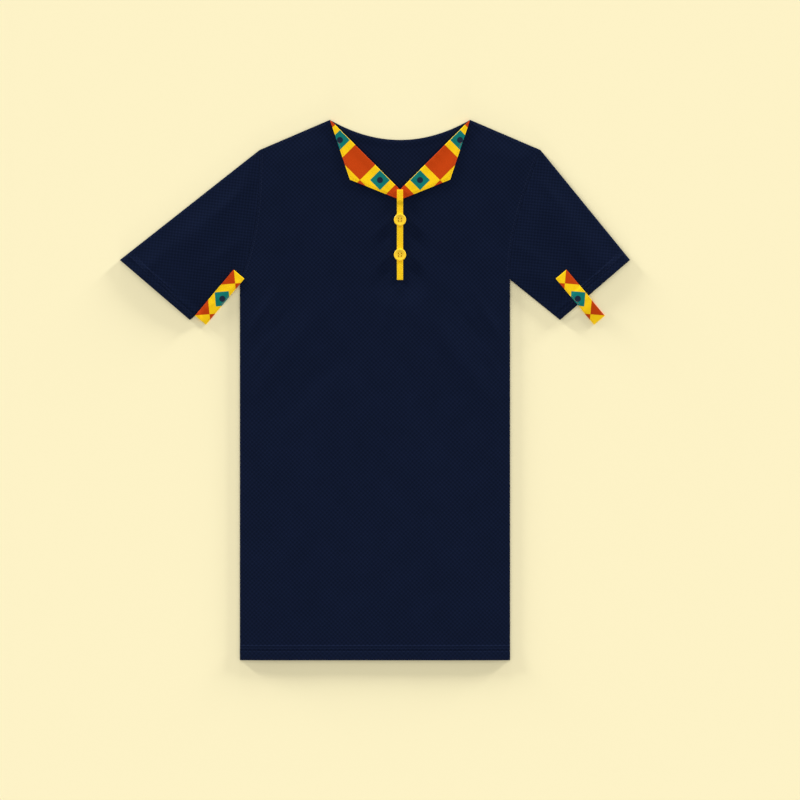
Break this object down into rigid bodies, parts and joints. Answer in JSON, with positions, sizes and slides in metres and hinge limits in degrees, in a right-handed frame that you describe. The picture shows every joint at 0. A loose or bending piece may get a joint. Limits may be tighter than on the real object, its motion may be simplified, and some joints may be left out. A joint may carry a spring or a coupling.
{
  "type": "polo shirt",
  "caption": "Short-sleeved knit polo shirt laid flat, with a V collar turned down over the front, a buttoned placket tape and a strip on each sleeve.",
  "frame": {"origin": "on the surface that the shirt lies on, under the middle of its bounding box", "axes": "+Y from the hem up to the neck, +Z off the surface towards the viewer, +X towards the wearer's left; the front is up"},
  "size_m": [0.765, 0.81, 0.0071],
  "materials": {
    "navy_pique": "matte cotton pique knit",
    "patterned_weave": "matte printed cotton with an orange, yellow and teal diamond repeat",
    "yellow_tape": "matte cotton twill tape",
    "yellow_button": "polished four-hole button"
  },
  "bodies": {
    "root": {"back_panel": "navy_pique", "front_panel": "navy_pique", "sleeve_right": "navy_pique", "sleeve_left": "navy_pique", "collar_right": "patterned_weave", "collar_left": "patterned_weave", "placket_tape": "yellow_tape", "button_upper": "yellow_button", "button_lower": "yellow_button", "sleeve_tab_right": "patterned_weave", "sleeve_tab_left": "patterned_weave"}
  },
  "joints": []
}
